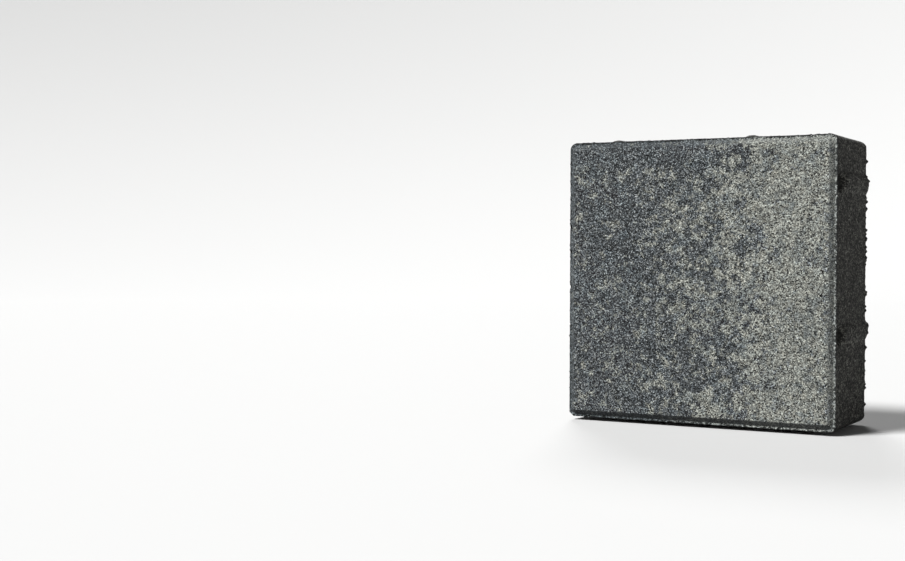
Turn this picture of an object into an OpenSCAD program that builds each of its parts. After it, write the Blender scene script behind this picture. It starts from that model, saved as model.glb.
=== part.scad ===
// Square concrete paver, standing on edge.
// The wearing face looks towards -Y, the bed face towards +Y, and the two nibs
// of the lower side touch Z = 0. Laid side by side, the nibs of two neighbours
// pass each other and hold the joint open.

/* [Body] */
// Length of each side of the square, without its spacer nibs
side_len = 158; // [100:1:400]
// Thickness from the bed face to the wearing face
thickness = 60; // [40:1:120]
// Radius of the four corner edges that run through the thickness
corner_radius = 4; // [1:0.5:10]

/* [Wearing face edge] */
// Width of the flat lip that the press head leaves round the wearing face
lip_width = 1.5; // [0.5:0.1:4]
// Width of the bevel between the lip and the wearing face
bevel_width = 2.5; // [1:0.1:6]
// Drop from the wearing face to the lip
bevel_depth = 2.2; // [1:0.1:5]
// Radius of the wearing face's own corners
face_corner_radius = 1.5; // [0.5:0.1:6]

/* [Spacer nibs] */
// How far a nib stands out from its side
nib_height = 2; // [1:0.1:4]
// Width of a nib where it leaves the side
nib_width = 11; // [6:0.5:20]
// Distance from the lip to the front end of a nib
nib_setback = 9; // [4:0.5:20]
// Length of the slope at the front end of a nib
nib_slope_len = 4; // [2:0.5:10]
// Places of the nibs along each side, clockwise as seen from the front
nib_place_shares = [0.155, 0.67]; // [0.1:0.005:0.9]

/* [Hidden] */
$fn = 96;

// The body runs from the bed face up to the lip, and the raised panel above it
lip_level = thickness - bevel_depth;
corner_place = side_len / 2 - corner_radius;
panel_foot_half = side_len / 2 - lip_width;
panel_face_half = panel_foot_half - bevel_width;
panel_corner_place = panel_face_half - face_corner_radius;

// A nib is the part of a round bar that stands out of the side
nib_bar_radius = (nib_width * nib_width / 4 + nib_height * nib_height) / (2 * nib_height);
nib_bar_place = side_len / 2 + nib_height - nib_bar_radius;
nib_end_level = lip_level - nib_setback;
nib_crest_len = nib_end_level - nib_slope_len;

concrete_grey = [0.36, 0.37, 0.37];

// A block laid across the body, from its left side to its right side
module cross_block(across, along, height) {
    translate([-across / 2, -along / 2, 0])
        cube([across, along, height]);
}

// Four copies of a shape at the corners of a centred square
module at_corners(place) {
    for (x = [-place, place], y = [-place, place])
        translate([x, y, 0])
            children();
}

// The body below the lip, lying on its bed face, with round corner edges
module body_block() {
    cross_block(side_len, 2 * corner_place, lip_level);
    cross_block(2 * corner_place, side_len, lip_level);
    at_corners(corner_place)
        cylinder(h = lip_level, r = corner_radius);
}

// A bar whose section is the panel's: upright from the bed face to the lip, then bevelled
module panel_bar() {
    rotate([90, 0, 0])
        linear_extrude(height = 2 * panel_corner_place, center = true)
            polygon([
                [-panel_foot_half, 0],
                [panel_foot_half, 0],
                [panel_foot_half, lip_level],
                [panel_face_half, thickness],
                [-panel_face_half, thickness],
                [-panel_foot_half, lip_level]
            ]);
}

// The raised wearing face inside the lip, bevelled along its sides and round its corners
module wearing_panel() {
    panel_bar();
    rotate([0, 0, 90])
        panel_bar();
    at_corners(panel_corner_place)
        translate([0, 0, lip_level])
            cylinder(h = bevel_depth, r1 = face_corner_radius + bevel_width, r2 = face_corner_radius);
}

// One spacer nib on the upper side, from the bed face to its sloped front end.
// The bar is turned so that its first edge is the nib's crest.
module nib() {
    translate([0, nib_bar_place, 0])
        rotate([0, 0, 90]) {
            cylinder(h = nib_crest_len, r = nib_bar_radius);
            translate([0, 0, nib_crest_len])
                cylinder(h = nib_slope_len, r1 = nib_bar_radius, r2 = nib_bar_radius - nib_height);
        }
}

// The nibs of all four sides, each side a quarter turn clockwise from the last
module spacer_nibs() {
    for (turn = [0:90:270])
        rotate([0, 0, -turn])
            for (share = nib_place_shares)
                translate([(share - 1 / 2) * side_len, 0, 0])
                    nib();
}

// The whole paver, turned up from its bed onto one side
module paver() {
    color(concrete_grey)
        translate([0, thickness / 2, side_len / 2 + nib_height])
            rotate([90, 0, 0]) {
                body_block();
                wearing_panel();
                spacer_nibs();
            }
}

paver();
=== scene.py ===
from math import cos, pi, radians, sin

import bpy
import numpy as np
from bpy.props import (
    FloatProperty, FloatVectorProperty, IntProperty, PointerProperty,
)
from mathutils import Matrix, Vector


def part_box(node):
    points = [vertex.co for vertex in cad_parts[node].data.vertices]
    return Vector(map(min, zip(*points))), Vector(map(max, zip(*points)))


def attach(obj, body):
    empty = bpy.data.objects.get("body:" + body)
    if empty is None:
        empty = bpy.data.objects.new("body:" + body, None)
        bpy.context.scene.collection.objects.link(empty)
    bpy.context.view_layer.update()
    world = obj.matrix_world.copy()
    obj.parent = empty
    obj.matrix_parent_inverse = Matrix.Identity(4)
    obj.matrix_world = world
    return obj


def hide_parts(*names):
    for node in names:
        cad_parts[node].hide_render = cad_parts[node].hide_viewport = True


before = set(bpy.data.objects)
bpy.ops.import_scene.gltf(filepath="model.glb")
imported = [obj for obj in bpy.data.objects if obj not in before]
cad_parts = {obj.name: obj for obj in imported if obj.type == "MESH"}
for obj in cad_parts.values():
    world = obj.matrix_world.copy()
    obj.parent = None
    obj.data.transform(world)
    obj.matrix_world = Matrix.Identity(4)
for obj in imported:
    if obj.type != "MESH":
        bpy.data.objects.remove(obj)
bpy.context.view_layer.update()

bl_info = {
    "name": "Concrete Paver",
    "version": (1, 0, 0),
    "blender": (4, 5, 0),
    "location": "View3D > Sidebar > Paver",
    "description": "A square concrete paver with a bevelled face and spacer nibs, on a plain stage",
    "category": "Add Mesh",
}

NODE = "paver"
BODY = "root"
LOW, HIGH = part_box(NODE)
MM = 0.001

# Sides of the square, clockwise as seen from the front: top, right, bottom, left
SIDES = 4


class PaverSizes(bpy.types.PropertyGroup):
    """The sizes of the paver, as it was pressed."""

    thickness: FloatProperty(
        name="Thickness", description="From the bed face to the wearing face",
        default=HIGH.y - LOW.y, unit="LENGTH")
    nib_height: FloatProperty(
        name="Nib height", description="How far a spacer nib stands out from its side",
        default=2 * MM, unit="LENGTH")
    corner_radius: FloatProperty(
        name="Corner radius", description="Radius of the four edges through the thickness",
        default=4 * MM, unit="LENGTH")
    lip_width: FloatProperty(
        name="Lip width", description="Width of the flat press lip round the wearing face",
        default=1.5 * MM, unit="LENGTH")
    bevel_width: FloatProperty(
        name="Bevel width", description="Width of the slope between the lip and the wearing face",
        default=2.5 * MM, unit="LENGTH")
    bevel_depth: FloatProperty(
        name="Bevel depth", description="Drop from the wearing face to the lip",
        default=2.2 * MM, unit="LENGTH")
    face_corner_radius: FloatProperty(
        name="Face corner radius", description="Radius of the wearing face's own corners",
        default=1.5 * MM, unit="LENGTH")
    nib_width: FloatProperty(
        name="Nib width", description="Width of a nib where it leaves the side",
        default=11 * MM, unit="LENGTH")
    nib_setback: FloatProperty(
        name="Nib setback", description="From the lip to the front end of a nib",
        default=9 * MM, unit="LENGTH")
    nib_slope_len: FloatProperty(
        name="Nib slope", description="Length of the slope at a nib's front end",
        default=4 * MM, unit="LENGTH")
    nib_place_shares: FloatVectorProperty(
        name="Nib places", description="Places of the nibs along a side, clockwise from the front",
        default=(0.155, 0.67), size=2)


class PaverRelief(bpy.types.PropertyGroup):
    """How rough the pressed concrete is. Depths are in metres."""

    seed: IntProperty(
        name="Seed", description="Starts every random draw of the relief", default=11, min=0)
    face_depth: FloatProperty(
        name="Face relief", description="Depth of the sandy relief of the wearing face",
        default=0.10 * MM, unit="LENGTH")
    side_depth: FloatProperty(
        name="Side relief", description="Depth of the sandy relief of the sides",
        default=0.16 * MM, unit="LENGTH")
    pit_depth: FloatProperty(
        name="Pit depth", description="Depth of the air pits in the sides",
        default=0.9 * MM, unit="LENGTH")
    crumb_height: FloatProperty(
        name="Crumb height", description="How far grains stand out along the bed edge",
        default=2.0 * MM, unit="LENGTH")
    bed_depth: FloatProperty(
        name="Bed relief", description="Depth of the open texture of the bed face",
        default=0.9 * MM, unit="LENGTH")
    nick_depth: FloatProperty(
        name="Nick depth", description="Depth of the small chips along the front edge",
        default=0.85 * MM, unit="LENGTH")
    hollow_depth: FloatProperty(
        name="Hollow depth", description="Depth of the ragged hollow in front of each nib",
        default=1.6 * MM, unit="LENGTH")


class ConcreteLook(bpy.types.PropertyGroup):
    """The colours of the two-tone face mix and of the plain core."""

    dark_mix: FloatVectorProperty(
        name="Dark mix", description="Anthracite paste of the face", subtype="COLOR",
        default=(0.0608, 0.068, 0.0726), min=0, max=1)
    light_mix: FloatVectorProperty(
        name="Light mix", description="Grey paste of the face", subtype="COLOR",
        default=(0.1915, 0.198, 0.178), min=0, max=1)
    mottle: FloatVectorProperty(
        name="Mottle", description="Bluish paste in small soft patches", subtype="COLOR",
        default=(0.081, 0.0955, 0.1025), min=0, max=1)
    grain_contrast: FloatProperty(
        name="Grain contrast", description="Spread of the single grains' brightness, in octaves",
        default=4.5)
    sand_contrast: FloatProperty(
        name="Sand contrast", description="Spread of the sand's brightness, in octaves", default=1.75)
    grit_contrast: FloatProperty(
        name="Grit contrast", description="Spread of the coarser grit's brightness, in octaves",
        default=0.9)
    core: FloatVectorProperty(
        name="Core", description="Plain concrete of the sides and the bed", subtype="COLOR",
        default=(0.0402, 0.040, 0.0357), min=0, max=1)


class StageLook(bpy.types.PropertyGroup):
    """The floor, the lights and the camera."""

    floor: FloatVectorProperty(
        name="Floor", description="Colour of the plain floor", subtype="COLOR",
        default=(0.37, 0.37, 0.368), min=0, max=1)
    camera_place: FloatVectorProperty(
        name="Camera place", description="Where the camera stands", subtype="TRANSLATION",
        default=(0.2861, -0.7404, 0.0965), unit="LENGTH")
    camera_heading: FloatProperty(
        name="Camera heading", description="Turn of the camera to the left of straight ahead",
        default=radians(27.92), unit="ROTATION")
    camera_pitch: FloatProperty(
        name="Camera pitch", description="How far the camera looks down",
        default=radians(1.14), unit="ROTATION")
    camera_roll: FloatProperty(
        name="Camera roll", description="Turn of the camera about its own view",
        default=radians(0.23), unit="ROTATION")
    lens: FloatProperty(
        name="Lens", description="Focal length for a 36 mm wide sensor, in millimetres",
        default=54.87, min=1)
    shift: FloatProperty(
        name="Shift", description="Sideways shift of the lens, as a share of the width",
        default=-0.1086)
    key_strength: FloatProperty(
        name="Key light", description="Strength of the soft light from the front left", default=7.5, min=0)
    key_height: FloatProperty(
        name="Key height", description="How far the key light stands above the floor",
        default=radians(54), unit="ROTATION")
    key_turn: FloatProperty(
        name="Key turn", description="How far the key light stands to the left of the front",
        default=radians(35), unit="ROTATION")
    back_strength: FloatProperty(
        name="Back light", description="Strength of the soft light from behind", default=2.0, min=0)
    back_height: FloatProperty(
        name="Back height", description="How far the back light stands above the floor",
        default=radians(40), unit="ROTATION")
    back_turn: FloatProperty(
        name="Back turn", description="How far the back light stands to the left of the back",
        default=radians(30), unit="ROTATION")
    softness: FloatProperty(
        name="Softness", description="How wide both lights look", default=radians(20), unit="ROTATION")
    room_strength: FloatProperty(
        name="Room light", description="Light that the pale room sheds", default=0.08, min=0)


# Relief fields, all in millimetres

def lattice_values(cells, seed):
    """A random value from -1 to 1 for each whole-numbered cell, the same on every run."""
    c = cells.astype(np.int64) & 0xFFFFFFFF
    h = (c[..., 0] * 73856093) ^ (c[..., 1] * 19349663) ^ (c[..., 2] * 83492791) ^ (seed * 2654435761)
    h &= 0xFFFFFFFF
    h = ((h ^ (h >> 16)) * 0x45D9F3B) & 0xFFFFFFFF
    h = ((h ^ (h >> 16)) * 0x45D9F3B) & 0xFFFFFFFF
    h ^= h >> 16
    return h / 0x7FFFFFFF - 1.0


def soft_noise(points, cell, seed):
    """Smooth noise from -1 to 1 whose features are about one cell wide."""
    p = points / cell
    base = np.floor(p)
    f = p - base
    f = f * f * (3 - 2 * f)
    total = np.zeros(len(points))
    for dx in (0, 1):
        for dy in (0, 1):
            for dz in (0, 1):
                corner = np.array([dx, dy, dz])
                weight = np.prod(np.where(corner, f, 1 - f), axis=1)
                total += weight * lattice_values(base + corner, seed)
    return total


def layered_noise(points, cell, layers, seed, keep=0.55):
    """Soft noise with finer and weaker layers on top."""
    total = np.zeros(len(points))
    weight, norm = 1.0, 0.0
    for k in range(layers):
        total += weight * soft_noise(points, cell / 2**k, seed + k)
        norm += weight
        weight *= keep
    return total / norm


def grain_field(points, cell, radii, share, seed):
    """Height from 0 to 1 of round grains strewn through space, one at most to each cell.
    radii is the least and the largest grain radius, and share is how many cells hold a grain."""
    base = np.floor(points / cell)
    best = np.zeros(len(points))
    for dx in (-1, 0, 1):
        for dy in (-1, 0, 1):
            for dz in (-1, 0, 1):
                c = base + np.array([dx, dy, dz])
                jitter = np.stack([lattice_values(c, seed + k) for k in range(3)], 1)
                centre = (c + 0.5 + 0.42 * jitter) * cell
                size = lattice_values(c, seed + 3) * 0.5 + 0.5
                radius = radii[0] + (radii[1] - radii[0]) * size
                there = lattice_values(c, seed + 4) * 0.5 + 0.5 < share
                d = np.linalg.norm(points - centre, axis=1)
                h = np.clip(1 - (d / radius) ** 2, 0, 1) * there
                best = np.maximum(best, h)
    return best


def smooth(x, low, high):
    """Runs smoothly from 0 at low to 1 at high."""
    t = np.clip((x - low) / (high - low), 0, 1)
    return t * t * (3 - 2 * t)


# The skin of the paver, worked out lying on its bed: x to the right and y up the side as seen
# from the front, z from the bed face at 0 to the wearing face at the thickness.

def ring_place(side, t, half, radius):
    """Point and outward direction on a rounded square, for a share t from -1 to 1 along a side."""
    straight = half - radius
    reach = straight + radius * pi / 4
    s = t * reach
    over = np.clip(np.abs(s) - straight, 0, None)
    angle = np.sign(s) * over / np.maximum(radius, 1e-9)
    x = np.clip(s, -straight, straight) + radius * np.sin(angle)
    y = straight + radius * np.cos(angle)
    out = np.stack([np.sin(angle), np.cos(angle)], -1)
    place = np.stack([x, y], -1)
    for turn in range(1, SIDES):
        here = side == turn
        for _ in range(turn):
            place[here] = np.stack([place[here][:, 1], -place[here][:, 0]], -1)
            out[here] = np.stack([out[here][:, 1], -out[here][:, 0]], -1)
    return place, out, s


class Skin:
    """The closed grid of the paver: square grids on both faces, joined by rings."""

    FINE = 264
    COARSE = FINE // 2

    def __init__(self, sizes):
        self.s = sizes
        self.half = (HIGH.x - LOW.x) / 2 / MM - sizes.nib_height / MM
        self.thick = sizes.thickness / MM
        self.points, self.outs, self.ups, self.along, self.kind = [], [], [], [], []
        self.faces = []
        self.count = 0

    def add(self, place, out, up, along, z, kind):
        first = self.count
        n = len(place)
        self.points.append(np.column_stack([place, np.broadcast_to(z, n)]))
        self.outs.append(out)
        self.ups.append(np.broadcast_to(up, n))
        self.along.append(along)
        self.kind.append(np.broadcast_to(kind, n))
        self.count += n
        return first

    def ring(self, half, radius, z, out_share, up_share, kind):
        index = np.arange(SIDES * self.FINE)
        side = index // self.FINE
        t = -1 + 2 * (index % self.FINE) / self.FINE
        place, out, along = ring_place(side, t, half, radius)
        return self.add(place, out * out_share, up_share, along, z, kind)

    def join(self, upper, lower):
        """Quads between two rings, the first nearer to the middle of the wearing face."""
        n = SIDES * self.FINE
        p = np.arange(n)
        q = (p + 1) % n
        self.faces.append(np.stack([upper + p, upper + q, lower + q, lower + p], 1))

    def plate(self, half, radius, z, up, kind):
        """A square grid that fills a rounded square. Returns its first vertex and its rim."""
        m = self.COARSE
        i, j = np.meshgrid(np.arange(m + 1), np.arange(m + 1), indexing="ij")
        a, b = -1 + 2 * i.ravel() / m, -1 + 2 * j.ravel() / m
        r = np.maximum(np.abs(a), np.abs(b))
        side = np.select([b == r, a == r, b == -r], [0, 1, 2], 3)
        safe = np.maximum(r, 1e-9)
        t = np.select([side == 0, side == 1, side == 2], [a, -b, -a], b) / safe
        place, _, along = ring_place(side, t, half * safe, radius * safe**8)
        first = self.add(place, np.zeros_like(place), up, along, z, kind)
        k = np.arange(m)
        top, right, bottom, left = k * (m + 1) + m, m * (m + 1) + m - k, (m - k) * (m + 1), k
        rim = first + np.concatenate([top, right, bottom, left])
        ii, jj = np.meshgrid(np.arange(m), np.arange(m), indexing="ij")
        c = first + (ii * (m + 1) + jj).ravel()
        quads = np.stack([c, c + m + 1, c + m + 2, c + 1], 1)
        self.faces.append(quads if up > 0 else quads[:, ::-1])
        return rim

    def stitch(self, rim, ring, up):
        """Joins a plate's rim to the finer ring round it, two ring segments to one of the rim."""
        n = SIDES * self.COARSE
        k = np.arange(n)
        c0, c1 = rim, rim[(k + 1) % n]
        f0, f1, f2 = ring + 2 * k, ring + 2 * k + 1, ring + (2 * k + 2) % (2 * n)
        quads, tris = np.stack([c0, c1, f2, f1], 1), np.stack([c0, f1, f0], 1)
        self.faces.append(quads if up > 0 else quads[:, ::-1])
        self.faces.append(tris if up > 0 else tris[:, ::-1])


KIND_FACE, KIND_BEVEL, KIND_LIP, KIND_SIDE, KIND_BED = range(5)


def build_skin(sizes):
    """Lays out the whole skin without its relief."""
    skin = Skin(sizes)
    mm = {name: getattr(sizes, name) / MM for name in (
        "lip_width", "bevel_width", "bevel_depth", "corner_radius", "face_corner_radius")}
    lip = skin.thick - mm["bevel_depth"]
    foot = skin.half - mm["lip_width"]
    face = foot - mm["bevel_width"]
    foot_radius = mm["face_corner_radius"] + mm["bevel_width"]

    rim = skin.plate(face - 1.2, mm["face_corner_radius"], skin.thick, 1.0, KIND_FACE)
    rings = [skin.ring(face - 0.6, mm["face_corner_radius"], skin.thick, 0.0, 1.0, KIND_FACE)]
    skin.stitch(rim, rings[0], 1.0)
    for share in (-0.12, 0.06, 0.25, 0.45, 0.65, 0.85, 1.0):
        slope = max(share, 0.0)
        sink = mm["bevel_depth"] * slope**1.3
        rings.append(skin.ring(
            face + mm["bevel_width"] * share,
            mm["face_corner_radius"] + mm["bevel_width"] * slope,
            skin.thick - sink, 0.6 * (share > 0), 0.8, KIND_BEVEL if share > 0 else KIND_FACE))
    for share in (0.3, 0.6, 0.85):
        rings.append(skin.ring(
            foot + mm["lip_width"] * share,
            foot_radius + (mm["corner_radius"] - foot_radius) * share, lip, 0.0, 1.0, KIND_LIP))
    rings.append(skin.ring(
        skin.half - 0.06, mm["corner_radius"], lip - 0.06, 0.7, 0.7, KIND_LIP))
    front_rows = lip - np.cumsum([0.45, 0.5, 0.6, 0.7, 0.8, 0.9, 1.0, 1.0, 1.0, 1.0, 1.0, 1.0, 1.0])
    bed_rows = np.cumsum([0.5, 0.55, 0.6, 0.65, 0.7, 0.8, 0.9, 1.0, 1.1])[::-1]
    middle = np.linspace(front_rows[-1], bed_rows[0], 19)[1:-1]
    for z in np.concatenate([front_rows, middle, bed_rows]):
        rings.append(skin.ring(skin.half, mm["corner_radius"], z, 1.0, 0.0, KIND_SIDE))
    rings.append(skin.ring(skin.half - 0.1, mm["corner_radius"], 0.1, 0.7, -0.7, KIND_SIDE))
    for inset in (0.7, 1.3, 2.0, 2.8):
        rings.append(skin.ring(
            skin.half - inset, mm["corner_radius"], 0.0, 0.0, -1.0, KIND_BED))
    for upper, lower in zip(rings, rings[1:]):
        skin.join(upper, lower)
    bed_rim = skin.plate(skin.half - 3.9, mm["corner_radius"] * 0.8, 0.0, -1.0, KIND_BED)
    skin.stitch(bed_rim, rings[-1], -1.0)
    return skin


def nib_profile(along, z, lip, sizes, half):
    """How far the nibs stand out at a place along a side, the hollow in front of them, and a
    painted highlight along one flank."""
    width, height = sizes.nib_width / MM, sizes.nib_height / MM
    end = lip - sizes.nib_setback / MM
    crest = end - sizes.nib_slope_len / MM
    bar = (width**2 / 4 + height**2) / (2 * height)
    radius = bar - height * np.clip((z - crest) / (end - crest), 0, 1)
    rise = np.zeros(len(along))
    hollow = np.zeros(len(along))
    flank_highlight = np.zeros(len(along))
    for share in sizes.nib_place_shares:
        off = along - (share - 0.5) * 2 * half
        arch = np.sqrt(np.clip(radius**2 - off**2, 0, None)) - (bar - height)
        rise = np.maximum(rise, np.clip(arch, 0, None) * (z < end))
        reach = ((off - 1.0) / (0.5 * width)) ** 2 + ((z - end - 4.0) / 5.3) ** 2
        hollow = np.maximum(hollow, 1 - smooth(reach, 0.45, 1.0))
        flank_highlight = np.maximum(flank_highlight, np.exp(-((off - width / 2) / 0.6) ** 2) * (z < end + 2))
    return rise, hollow, flank_highlight


def relief(skin, sizes, rough):
    """Moves the skin's points by the relief, and returns the points and the shader's masks."""
    p = np.concatenate(skin.points)
    out = np.concatenate(skin.outs)
    up = np.concatenate(skin.ups)
    along = np.concatenate(skin.along)
    kind = np.concatenate(skin.kind)
    seed = rough.seed
    lip = skin.thick - sizes.bevel_depth / MM
    side = kind == KIND_SIDE
    z = p[:, 2]

    rise, hollow, flank_highlight = nib_profile(along, z, lip, sizes, skin.half)
    rise, hollow = rise * side, hollow * side
    ragged = 0.5 + 0.9 * layered_noise(p, 2.6, 2, seed + 40)
    hollow = np.clip(hollow * ragged * 4.0, 0, 1)

    sand = layered_noise(p, 1.6, 2, seed + 1)
    waves = soft_noise(p, 14.0, seed + 3)
    drag = soft_noise(p * np.array([1, 1, 0.12]), 1.3, seed + 5)
    pits = grain_field(p, 5.0, (0.5, 1.2), 0.34, seed + 20)
    side_move = rough.side_depth / MM * (0.9 * sand + 0.7 * drag + 1.0 * waves)
    side_move -= rough.pit_depth / MM * pits
    side_move -= rough.hollow_depth / MM * hollow

    edge = np.exp(-z / 1.5) * side
    near_corner = smooth(np.abs(along), skin.half - 9.0, skin.half - 4.5)
    crumbs = grain_field(p, 2.2, (0.7, 1.4), 0.7, seed + 50) * (1 - 0.85 * near_corner)
    gone = smooth(layered_noise(p, 9.0, 2, seed + 60), 0.1, 0.6)
    side_move += edge * (rough.crumb_height / MM * crumbs - 0.25 - 0.25 * gone - 0.3 * rise)

    front = np.exp(-(lip - z) / 0.7) * side + (kind == KIND_LIP)
    nicks = grain_field(p, 2.8, (0.6, 1.25), 0.5, seed + 70)
    nick = rough.nick_depth / MM * nicks * front

    burr = 0.7 * grain_field(p, 1.7, (0.5, 0.95), 0.5, seed + 110) * front
    out_move = rise + side * side_move + (burr - nick) * (side | (kind == KIND_LIP))
    out_move = np.minimum(out_move, sizes.nib_height / MM)
    p[:, :2] += out * out_move[:, None]

    face_like = (kind == KIND_FACE) | (kind == KIND_BEVEL) | (kind == KIND_LIP)
    face_move = rough.face_depth / MM * (0.8 * sand - 0.8 + 0.5 * waves * (kind != KIND_FACE))
    face_move -= nick * (kind == KIND_LIP)
    bed = layered_noise(p, 3.4, 3, seed + 80) - 1.0
    stones = grain_field(p, 4.5, (1.0, 2.4), 0.6, seed + 90)
    bed_move = -(rough.bed_depth / MM * (1.0 + bed * -0.8 - 1.1 * stones)).clip(0, 1.5)
    p[:, 2] += face_like * np.abs(up) * face_move - (kind == KIND_BED) * bed_move

    inset = skin.half - np.max(np.abs(p[:, :2]), axis=1)
    # The dark line along the edge reaches further along the top edge: partly chips, partly painted shade.
    reach = 0.8 + 0.7 * (p[:, 1] > skin.half - 2.5)
    arris = np.exp(-(lip - z) / 0.5) * side + np.exp(-inset.clip(0) / reach) * (kind == KIND_LIP)

    low = p[:, 1] < -(skin.half - sizes.lip_width / MM - 0.3)
    masks = {
        # painted shade on the bevel where it looks down
        "under_painted_shade": ((kind == KIND_BEVEL) & (out[:, 1] < -0.4)).astype(float),
        # painted light on the lip along the bottom edge
        "foot_painted_light": ((kind == KIND_LIP) & low).astype(float),
        "face_share": face_like.astype(float),
        "tone_lean": tone_lean(p, skin.half),
        "bevel_share": (kind == KIND_BEVEL).astype(float),
        "lip_share": (kind == KIND_LIP).astype(float),
        "arris_share": arris,
        "bed_share": (kind == KIND_BED).astype(float),
        "painted_flank_highlight": flank_highlight * side,
        # painted shade in the hollows in front of the nibs, the pits and the nicks
        "hollow_painted_shade": np.clip(hollow + 0.6 * pits * side + 1.3 * nicks * front, 0, 1),
    }
    return p, masks


def stand_up(points, half, nib_height):
    """Turns the lying paver up onto its lower side, in metres in the row frame."""
    x, y, z = points.T
    mid = (LOW + HIGH) / 2
    world = np.column_stack([
        mid.x + x * MM,
        HIGH.y - z * MM,
        LOW.z + (y + half + nib_height) * MM,
    ])
    return np.clip(world, np.array(LOW), np.array(HIGH))


# How the light mix drifts across the face: places along the width, and the lean to light there
DRIFT_PLACES = (0.0, 0.28, 0.45, 0.65, 0.86, 0.93, 0.98, 1.0)
DRIFT_LEANS = (-0.46, -0.42, -0.16, 0.12, 0.75, 0.75, 0.30, 0.40)

# The mix is darker in a band under the top edge: the lean there, and the band's place and reach
# as shares of the height
TOP_SHADE = 0.65
TOP_PLACE = 0.050
TOP_REACH = 0.035

# Soft patches: share of the width from the left, share of the height from the top, radius, lean
PATCHES = (
    (0.33, 0.05, 0.07, -0.25), (0.53, 0.11, 0.05, -0.55), (0.26, 0.25, 0.07, -0.25),
    (0.40, 0.75, 0.07, -0.20), (0.57, 0.82, 0.06, -0.35), (0.67, 0.37, 0.06, -0.20),
    (0.43, 0.26, 0.05, 0.35), (0.62, 0.24, 0.07, 0.30), (0.12, 0.20, 0.07, 0.22),
    (0.48, 0.55, 0.07, 0.20), (0.34, 0.84, 0.07, 0.22), (0.54, 0.93, 0.05, 0.35),
    (0.76, 0.72, 0.07, 0.20), (0.18, 0.87, 0.05, 0.15),
)


def tone_lean(points, half):
    """How far each point leans to the light mix: about -0.5 in the dark part, 0.5 in the light."""
    across = points[:, 0] / (2 * half) + 0.5
    down = 0.5 - points[:, 1] / (2 * half)
    lean = np.interp(across, DRIFT_PLACES, DRIFT_LEANS)
    shade = TOP_SHADE * (1 - 0.8 * smooth(across, 0.5, 0.8))
    lean -= shade * np.exp(-((down - TOP_PLACE) / TOP_REACH) ** 2)
    for x, y, radius, weight in PATCHES:
        away = ((across - x) ** 2 + (down - y) ** 2) / radius**2
        lean += weight * np.exp(-away)
    return lean


class Paint:
    """Short names for the shader nodes that the concrete needs."""

    def __init__(self, material):
        material.use_nodes = True
        self.tree = material.node_tree
        self.nodes = self.tree.nodes
        self.nodes.clear()

    def new(self, kind, **inputs):
        node = self.nodes.new(kind)
        for name, value in inputs.items():
            self.put(node.inputs[name], value)
        return node

    def put(self, socket, value):
        if isinstance(value, bpy.types.NodeSocket):
            self.tree.links.new(value, socket)
        else:
            socket.default_value = value

    def math(self, operation, a, b=0.0, clamp=False):
        node = self.nodes.new("ShaderNodeMath")
        node.operation = operation
        node.use_clamp = clamp
        self.put(node.inputs[0], a)
        self.put(node.inputs[1], b)
        return node.outputs[0]

    def add(self, *terms):
        total = terms[0]
        for term in terms[1:]:
            total = self.math("ADD", total, term)
        return total

    def times(self, a, b):
        return self.math("MULTIPLY", a, b)

    def scaled(self, colour, factor):
        node = self.nodes.new("ShaderNodeVectorMath")
        node.operation = "SCALE"
        self.put(node.inputs[0], colour)
        self.put(node.inputs["Scale"], factor)
        return node.outputs["Vector"]

    def tinted(self, colour, tint):
        node = self.nodes.new("ShaderNodeVectorMath")
        node.operation = "MULTIPLY"
        self.put(node.inputs[0], colour)
        self.put(node.inputs[1], tint)
        return node.outputs["Vector"]

    def ramp(self, value, low, high, to_low=0.0, to_high=1.0):
        node = self.nodes.new("ShaderNodeMapRange")
        node.interpolation_type = "SMOOTHSTEP"
        for name, item in zip(("Value", "From Min", "From Max", "To Min", "To Max"),
                              (value, low, high, to_low, to_high)):
            self.put(node.inputs[name], item)
        return node.outputs["Result"]

    def mix(self, share, a, b):
        node = self.nodes.new("ShaderNodeMix")
        node.data_type = "RGBA"
        self.put(node.inputs["Factor"], share)
        self.put(node.inputs["A"], a)
        self.put(node.inputs["B"], b)
        return node.outputs["Result"]

    def mixed(self, share, a, b):
        """A plain number between a and b."""
        return self.add(a, self.times(share, self.math("SUBTRACT", b, a)))

    def mask(self, name):
        node = self.nodes.new("ShaderNodeAttribute")
        node.attribute_name = name
        return node.outputs["Fac"]

    def place(self, stretch=(1, 1, 1), shift=(0, 0, 0)):
        """Object coordinates in millimetres, moved and stretched."""
        source = self.nodes.new("ShaderNodeTexCoord").outputs["Object"]
        node = self.nodes.new("ShaderNodeMapping")
        node.inputs["Scale"].default_value = [k / MM for k in stretch]
        node.inputs["Location"].default_value = shift
        self.tree.links.new(source, node.inputs["Vector"])
        return node.outputs["Vector"]

    def noise(self, place, size, detail=0.0, rough=0.5):
        """Noise about 0, from -0.5 to 0.5, with features of a size in millimetres."""
        node = self.new("ShaderNodeTexNoise", Vector=place, Scale=1 / size, Detail=detail,
                        Roughness=rough)
        return self.math("SUBTRACT", node.outputs["Fac"], 0.5)

    def grains(self, place, size, jitter=1.0):
        """A random value from 0 to 1 for each grain, and the distance from its middle."""
        node = self.new("ShaderNodeTexVoronoi", Vector=place, Scale=1 / size,
                        Randomness=jitter)
        split = self.new("ShaderNodeSeparateColor", Color=node.outputs["Color"])
        return split.outputs["Red"], node.outputs["Distance"]


def rgba(colour):
    return (*colour, 1.0)


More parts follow.
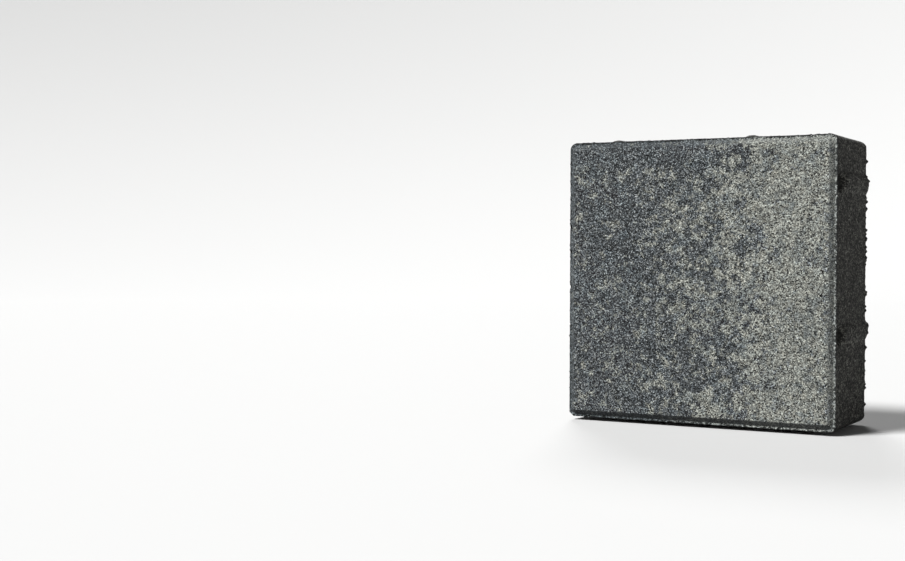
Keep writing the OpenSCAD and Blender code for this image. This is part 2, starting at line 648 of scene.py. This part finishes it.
def concrete(look):
    """The pressed concrete: a two-tone face mix, and a plain dark core on the sides and bed."""
    material = bpy.data.materials.new("pressed_concrete")
    paint = Paint(material)
    place = paint.place()
    face, bed = paint.mask("face_share"), paint.mask("bed_share")
    bevel, lip = paint.mask("bevel_share"), paint.mask("lip_share")
    hollow = paint.mask("hollow_painted_shade")

    lean = paint.mask("tone_lean")
    grain, gap = paint.grains(paint.place(shift=(1, 2, 3)), 0.82)
    speck, crack = paint.grains(paint.place(shift=(6, 1, 9)), 0.55)
    fine = paint.noise(paint.place(shift=(9, 4, 2)), 1.0, 2.0, 0.7)
    clusters = paint.noise(paint.place(shift=(3, 17, 5)), 5.5, 5.0, 0.68)
    clouds = paint.noise(paint.place(shift=(31, 7, 12)), 24.0, 1.0, 0.5)
    share = paint.add(lean, paint.times(clusters, 5.2), paint.times(clouds, 0.5),
                      paint.times(fine, 0.9),
                      paint.times(paint.math("SUBTRACT", grain, 0.5), 0.7))
    light = paint.ramp(share, -0.05, 0.10)
    octaves = paint.add(
        paint.times(paint.math("SUBTRACT", speck, 0.5),
                    paint.math("SUBTRACT", look.grain_contrast, paint.times(light, 2.2))),
        paint.times(fine, paint.math("SUBTRACT", look.sand_contrast, paint.times(light, 0.9))),
        paint.times(clusters, look.grit_contrast),
        # painted shade: the crevices between grains are darkened
        paint.times(paint.ramp(gap, 0.42, 0.75, 0.0, -1.4),
                    paint.math("SUBTRACT", 1.0, paint.times(light, 0.45))))
    dip, _ = paint.grains(paint.place(shift=(4, 6, 2)), 0.6)
    octaves = paint.add(octaves, paint.ramp(dip, 0.26, 0.0, 0.0, -6.0))

    dark = paint.scaled(look.dark_mix, paint.ramp(lean, 0.0, 0.7, 1.0, 1.7))
    body = paint.mix(light, dark, rgba(look.light_mix))
    mottle = paint.ramp(paint.noise(paint.place(shift=(12, 3, 8)), 8.0, 4.0, 0.65), 0.02, 0.12)
    body = paint.mix(paint.times(mottle, 0.5), body, rgba(look.mottle))
    hue = paint.noise(paint.place(shift=(2, 8, 5)), 2.6, 3.0, 0.75)
    bright_dark = paint.times(paint.ramp(octaves, 0.2, 1.8), paint.math("SUBTRACT", 1.0, light))
    coolness = paint.add(0.5, paint.times(hue, 2.0), paint.times(bright_dark, -0.5))
    tint = paint.mix(coolness, (1.055, 1.0, 0.945, 1.0), (0.945, 1.0, 1.055, 1.0))
    body = paint.tinted(body, tint)
    face_colour = paint.scaled(body, paint.math("POWER", 2.0, octaves))

    smooth_paste = paint.scaled(
        paint.mix(paint.ramp(lean, -0.5, 0.5), (0.064, 0.075, 0.080, 1.0), (0.215, 0.228, 0.218, 1.0)),
        paint.math("POWER", 2.0, paint.times(paint.math("SUBTRACT", speck, 0.5), 1.8)))
    paste_share = paint.add(paint.times(bevel, 0.3), paint.times(lip, 0.7))
    face_colour = paint.mix(paste_share, face_colour, smooth_paste)
    # Painted shade: every bevel is made a fifth darker, for the shade on its slope.
    face_colour = paint.scaled(face_colour, paint.math("SUBTRACT", 1.0, paint.times(bevel, 0.2)))
    # Painted shade: the bevel's down-facing side is mixed towards near-black, for the shade it falls in.
    face_colour = paint.mix(paint.times(paint.mask("under_painted_shade"), 0.72), face_colour,
                            (0.010, 0.011, 0.012, 1.0))
    # Painted light: the lip along the bottom edge is made twice as bright, for light it catches.
    face_colour = paint.scaled(face_colour, paint.mixed(paint.mask("foot_painted_light"), 1.0, 2.0))

    core_grain, _ = paint.grains(paint.place(stretch=(1, 0.5, 1), shift=(3, 9, 1)), 0.7)
    core_octaves = paint.add(
        paint.times(paint.math("SUBTRACT", core_grain, 0.5), 3.0),
        paint.times(paint.noise(paint.place(stretch=(1, 0.7, 1), shift=(5, 5, 1)), 1.2, 2.0, 0.6), 3.2),
        paint.times(paint.noise(paint.place(stretch=(1, 0.2, 1)), 2.2, 2.0, 0.5), 1.3),
        paint.times(paint.noise(paint.place(shift=(8, 1, 4)), 18.0, 1.0, 0.5), 0.7))
    core = paint.scaled(look.core, paint.math("POWER", 2.0, core_octaves))
    # Painted shade: near-black dots stand for the shade inside pin holes in the core.
    core_dip, _ = paint.grains(paint.place(stretch=(1, 0.55, 1), shift=(7, 3, 5)), 0.75)
    core = paint.mix(paint.times(paint.ramp(core_dip, 0.34, 0.18), 0.85), core,
                     (0.004, 0.004, 0.0036, 1.0))
    dot, _ = paint.grains(paint.place(stretch=(1, 0.6, 1), shift=(2, 2, 8)), 1.1)
    core = paint.mix(paint.times(paint.ramp(dot, 0.79, 0.86), 0.88), core, (0.004, 0.004, 0.0036, 1.0))
    stone, _ = paint.grains(paint.place(shift=(1, 9, 9)), 3.2)
    bed_tone = paint.add(1.15, paint.times(paint.math("SUBTRACT", stone, 0.5), 0.7),
                         paint.times(paint.noise(paint.place(shift=(6, 6, 2)), 22.0, 2.0, 0.5), 1.2))
    core = paint.scaled(core, paint.mixed(bed, 1.0, bed_tone))
    # Painted highlight: the side is made twice as bright along one flank of each nib, for light caught
    # there.
    core = paint.scaled(core, paint.mixed(paint.mask("painted_flank_highlight"), 1.0, 2.0))
    colour = paint.mix(face, core, face_colour)
    # Painted shade: the hollows in front of the nibs, the pits and the nicks are mixed towards near-black.
    colour = paint.mix(paint.times(hollow, 0.9), colour, (0.006, 0.006, 0.005, 1.0))
    # Partly chips, partly painted shade: a ragged near-black line along the front arris.
    chips_and_edge_shade = paint.ramp(paint.add(
        paint.mask("arris_share"), paint.times(fine, 1.6),
        paint.times(paint.math("SUBTRACT", grain, 0.5), 0.9)), 0.37, 0.50)
    colour = paint.mix(paint.times(chips_and_edge_shade, 0.95), colour, (0.010, 0.011, 0.011, 1.0))

    height_field = paint.add(
        paint.times(gap, -0.35), paint.times(crack, -0.2),
        paint.times(paint.noise(paint.place(shift=(4, 4, 4)), 0.7, 3.0, 0.6), 0.3),
        paint.times(paint.noise(paint.place(shift=(7, 7, 7)), 2.4, 2.0, 0.5), 0.5))
    bump = paint.new("ShaderNodeBump", Height=height_field)
    bump.inputs["Strength"].default_value = 0.8
    bump.inputs["Distance"].default_value = 0.8 * MM

    shader = paint.new("ShaderNodeBsdfPrincipled", **{"Base Color": colour})
    shader.inputs["Roughness"].default_value = 0.92
    shader.inputs["Specular IOR Level"].default_value = 0.2
    paint.tree.links.new(bump.outputs["Normal"], shader.inputs["Normal"])
    output = paint.nodes.new("ShaderNodeOutputMaterial")
    paint.tree.links.new(shader.outputs["BSDF"], output.inputs["Surface"])
    return material


def mesh_from(points, face_sets, masks):
    """A mesh from numpy arrays of points and of quads and triangles, with point masks."""
    mesh = bpy.data.meshes.new("paver_skin")
    faces = [row for rows in face_sets for row in rows.tolist()]
    mesh.from_pydata(points.tolist(), [], faces)
    for name, values in masks.items():
        layer = mesh.attributes.new(name, "FLOAT", "POINT")
        layer.data.foreach_set("value", values.astype(np.float32))
    mesh.validate()
    mesh.update()
    mesh.polygons.foreach_set("use_smooth", [True] * len(mesh.polygons))
    return mesh


class PAVER_OT_cast(bpy.types.Operator):
    """Casts the paver: its skin, its relief and its concrete"""

    bl_idname = "paver.cast"
    bl_label = "Cast paver"

    def execute(self, context):
        settings = context.scene.paver
        sizes = settings.sizes
        skin = build_skin(sizes)
        points, masks = relief(skin, sizes, settings.rough)
        world = stand_up(points, skin.half, sizes.nib_height / MM)
        mesh = mesh_from(world, skin.faces, masks)
        if not mesh.polygons:
            raise RuntimeError("the paver's skin has no faces")
        paver = bpy.data.objects.new("pressed_paver", mesh)
        context.scene.collection.objects.link(paver)
        mesh.materials.append(concrete(settings.look))
        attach(paver, BODY)
        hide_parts(NODE)
        return {"FINISHED"}


class PAVER_OT_stage(bpy.types.Operator):
    """Lays the floor, hangs the lights and sets the camera"""

    bl_idname = "paver.stage"
    bl_label = "Set stage"

    def execute(self, context):
        scene = context.scene
        stage = scene.paver.stage
        self.lay_floor(scene, stage)
        self.hang_lights(scene, stage)
        self.set_camera(scene, stage)
        scene.view_settings.view_transform = "Standard"
        return {"FINISHED"}

    def lay_floor(self, scene, stage):
        """A flat floor that curves up all round into a low pale backdrop."""
        turns, rows = 96, 24
        flat, far, climb = 2.2, 6.0, 1.5
        reach = [0.4, 0.9, flat] + [flat + (far - flat) * k / rows for k in range(1, rows + 1)]
        points, faces = [(0.0, 0.0, 0.0)], []
        for r in reach:
            rise = climb * (max(r - flat, 0.0) / (far - flat)) ** 2
            points += [(r * cos(2 * pi * k / turns), r * sin(2 * pi * k / turns), rise)
                       for k in range(turns)]
        faces += [(0, 1 + k, 1 + (k + 1) % turns) for k in range(turns)]
        for row in range(len(reach) - 1):
            a, b = 1 + row * turns, 1 + (row + 1) * turns
            faces += [(a + k, b + k, b + (k + 1) % turns, a + (k + 1) % turns) for k in range(turns)]
        mesh = bpy.data.meshes.new("floor")
        mesh.from_pydata(points, [], faces)
        mesh.polygons.foreach_set("use_smooth", [True] * len(mesh.polygons))
        floor = bpy.data.objects.new("floor", mesh)
        scene.collection.objects.link(floor)
        material = bpy.data.materials.new("pale_floor")
        paint = Paint(material)
        shader = paint.new("ShaderNodeBsdfPrincipled", **{"Base Color": rgba(stage.floor)})
        shader.inputs["Roughness"].default_value = 0.9
        output = paint.nodes.new("ShaderNodeOutputMaterial")
        paint.tree.links.new(shader.outputs["BSDF"], output.inputs["Surface"])
        mesh.materials.append(material)

    def hang_lights(self, scene, stage):
        self.soft_sun(scene, "key", stage.key_strength, pi - stage.key_turn, stage.key_height,
                      stage.softness)
        self.soft_sun(scene, "back", stage.back_strength, stage.back_turn, stage.back_height,
                      stage.softness)
        world = bpy.data.worlds.new("pale_room")
        scene.world = world
        world.use_nodes = True
        background = world.node_tree.nodes["Background"]
        background.inputs["Color"].default_value = (1.0, 1.0, 1.0, 1.0)
        background.inputs["Strength"].default_value = stage.room_strength

    def soft_sun(self, scene, name, strength, turn, height, softness):
        """A far soft light. turn runs from straight behind the paver, anticlockwise from above."""
        data = bpy.data.lights.new(name, "SUN")
        data.energy = strength
        data.angle = softness
        light = bpy.data.objects.new(name, data)
        towards = Vector((-sin(turn) * cos(height), cos(turn) * cos(height), sin(height)))
        light.rotation_euler = (-towards).to_track_quat("-Z", "Y").to_euler()
        scene.collection.objects.link(light)

    def set_camera(self, scene, stage):
        data = bpy.data.cameras.new("camera")
        data.sensor_width = 36.0
        data.lens = stage.lens
        data.shift_x = stage.shift
        data.clip_start = 0.01
        camera = bpy.data.objects.new("camera", data)
        turn = Matrix.Rotation(stage.camera_heading, 4, "Z")
        tip = Matrix.Rotation(pi / 2 - stage.camera_pitch, 4, "X")
        roll = Matrix.Rotation(stage.camera_roll, 4, "Z")
        camera.matrix_world = Matrix.Translation(stage.camera_place) @ turn @ tip @ roll
        scene.collection.objects.link(camera)
        scene.camera = camera


class PaverSettings(bpy.types.PropertyGroup):
    """Everything that a user can set."""

    sizes: PointerProperty(type=PaverSizes)
    rough: PointerProperty(type=PaverRelief)
    look: PointerProperty(type=ConcreteLook)
    stage: PointerProperty(type=StageLook)


class PAVER_PT_panel(bpy.types.Panel):
    """Lists the paver's operators and settings in the sidebar"""

    bl_label = "Concrete Paver"
    bl_idname = "PAVER_PT_panel"
    bl_space_type = "VIEW_3D"
    bl_region_type = "UI"
    bl_category = "Paver"

    def draw(self, context):
        settings = context.scene.paver
        for group in (settings.sizes, settings.rough, settings.look, settings.stage):
            box = self.layout.box()
            for name in group.__annotations__:
                box.prop(group, name)
        for step in (PAVER_OT_cast, PAVER_OT_stage):
            self.layout.operator(step.bl_idname)


CLASSES = (
    PaverSizes, PaverRelief, ConcreteLook, StageLook, PaverSettings,
    PAVER_OT_cast, PAVER_OT_stage, PAVER_PT_panel,
)


def register():
    for cls in CLASSES:
        bpy.utils.register_class(cls)
    bpy.types.Scene.paver = PointerProperty(type=PaverSettings)


def unregister():
    del bpy.types.Scene.paver
    for cls in reversed(CLASSES):
        bpy.utils.unregister_class(cls)


def main():
    register()
    bpy.ops.paver.cast()
    bpy.ops.paver.stage()


if __name__ == "__main__":
    main()
